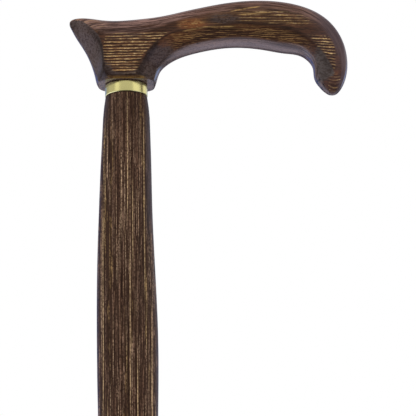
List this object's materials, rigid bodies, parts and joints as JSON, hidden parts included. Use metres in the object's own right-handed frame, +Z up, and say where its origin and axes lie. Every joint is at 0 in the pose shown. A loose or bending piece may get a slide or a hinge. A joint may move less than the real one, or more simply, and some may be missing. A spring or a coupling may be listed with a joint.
{
  "type": "derby walking cane",
  "caption": "Walking cane with a carved wooden derby handle, a brass collar, a turned wooden shaft that swells below the collar, and a rubber ferrule.",
  "frame": {"origin": "middle of the ferrule's flat bottom, on the shaft's axis", "axes": "+Z up along the shaft to the handle, +X along the grip from the beak to the nose, +Y across the handle"},
  "size_m": [0.1404, 0.0344, 0.9134],
  "materials": {
    "handle_wood": "clear gloss varnish over a dark brown stain, with golden growth lines",
    "shaft_wood": "clear gloss varnish over a dark brown stain, with fine lengthwise grain",
    "brass": "polished",
    "steel": "plain, hidden inside the cane",
    "rubber": "matte black moulded rubber"
  },
  "bodies": {
    "root": {"handle": "handle_wood", "collar": "brass", "shaft": "shaft_wood", "joining_stud": "steel", "ferrule": "rubber", "ferrule_washer": "steel"}
  },
  "joints": []
}
